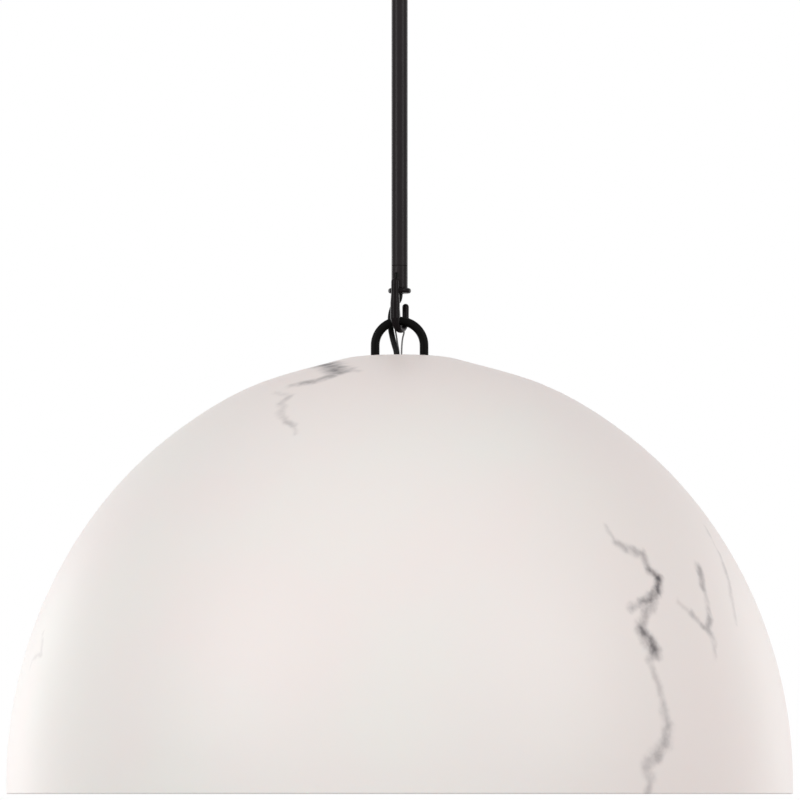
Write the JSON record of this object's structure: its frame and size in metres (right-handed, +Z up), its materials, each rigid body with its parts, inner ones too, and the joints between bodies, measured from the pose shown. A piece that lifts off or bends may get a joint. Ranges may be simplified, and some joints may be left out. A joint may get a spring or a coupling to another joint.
{
  "type": "bowl pendant light",
  "caption": "Stone dome pendant light hung by a bar loop from a hook on a rod, with a ceiling canopy, tilting swivel and lamp cluster inside.",
  "frame": {"origin": "on the ceiling plane, at the middle of the crossbar's slot pattern", "axes": "+Z up into the ceiling, -Y the front that shows the loop's arch, +X to the right seen from the front"},
  "size_m": [0.6096, 0.6096, 0.7862],
  "materials": {
    "alabaster": "satin honed stone with soft grey veins",
    "dark_bronze": "satin",
    "black_iron": "satin",
    "zinc_steel": "satin",
    "green_screw": "satin",
    "orange_plastic": "gloss",
    "lead_white": "matte",
    "cord_black": "matte",
    "wire_grey": "satin",
    "black_rubber": "matte",
    "white_metal": "satin",
    "socket_black": "satin",
    "brass": "satin",
    "base_metal": "satin",
    "frosted_glass": "matte"
  },
  "bodies": {
    "ceiling_set": {"crossbar": "zinc_steel", "ground_screw": "green_screw", "threaded_nipple": "zinc_steel", "nipple_lock_nut": "zinc_steel", "canopy": "dark_bronze", "canopy_ring_nut": "dark_bronze", "wire_connectors": "orange_plastic", "canopy_leads": "lead_white", "swivel_socket": "dark_bronze", "swivel_cap": "dark_bronze"},
    "swivel_turner": {"swivel_fork": "dark_bronze"},
    "rod_set": {"swivel_knuckle": "dark_bronze", "swivel_screws": "dark_bronze", "rod": "dark_bronze", "end_piece": "dark_bronze", "cord_grip_screw": "black_iron", "end_collar": "dark_bronze", "hook": "dark_bronze", "rod_cord": "cord_black", "rod_wires": "wire_grey", "supply_cord": "cord_black", "ground_wire": "wire_grey", "safety_wire": "wire_grey"},
    "bowl_set": {"alabaster_bowl": "alabaster", "hanging_loop": "black_iron", "leg_sleeves": "black_rubber", "cord_grommet": "black_rubber", "crown_pad": "black_rubber", "spreader_plate": "zinc_steel", "loop_washers": "zinc_steel", "loop_nuts": "zinc_steel", "hub_nipple": "zinc_steel", "hub_nuts": "zinc_steel", "lamp_hub": "white_metal", "cover_studs": "zinc_steel", "hub_cover": "white_metal", "cap_nuts": "zinc_steel", "socket_leads": "lead_white", "bowl_cord": "cord_black", "bowl_wires": "wire_grey", "socket_nipple_1": "zinc_steel", "lamp_socket_1": "socket_black", "screw_shell_1": "brass", "socket_nipple_2": "zinc_steel", "lamp_socket_2": "socket_black", "screw_shell_2": "brass", "socket_nipple_3": "zinc_steel", "lamp_socket_3": "socket_black", "screw_shell_3": "brass"},
    "bulb_1": {"bulb_base_1": "base_metal", "bulb_glass_1": "frosted_glass"},
    "bulb_2": {"bulb_base_2": "base_metal", "bulb_glass_2": "frosted_glass"},
    "bulb_3": {"bulb_base_3": "base_metal", "bulb_glass_3": "frosted_glass"}
  },
  "joints": [
    {"name": "swivel_turn", "type": "hinge", "parent": "ceiling_set", "child": "swivel_turner", "pos_m": [0, 0, -0.0444], "axis": [0, 0, 1], "range_deg": [-175, 175]},
    {"name": "swivel_tilt", "type": "hinge", "parent": "swivel_turner", "child": "rod_set", "pos_m": [0, 0, -0.05815], "axis": [1, 0, 0], "range_deg": [-45, 45], "deforming": ["rod_cord", "rod_wires"]},
    {"name": "bowl_swing", "type": "hinge", "parent": "rod_set", "child": "bowl_set", "pos_m": [0, 0, -0.41825], "axis": [1, 0, 0], "range_deg": [-30, 30], "deforming": ["supply_cord", "ground_wire", "safety_wire"]},
    {"name": "bulb_1_unscrew", "type": "slide", "parent": "bowl_set", "child": "bulb_1", "axis": [0, 0.866, -0.5], "range_m": [0, 0.027]},
    {"name": "bulb_2_unscrew", "type": "slide", "parent": "bowl_set", "child": "bulb_2", "axis": [-0.75, -0.433, -0.5], "range_m": [0, 0.027]},
    {"name": "bulb_3_unscrew", "type": "slide", "parent": "bowl_set", "child": "bulb_3", "axis": [0.75, -0.433, -0.5], "range_m": [0, 0.027]}
  ]
}
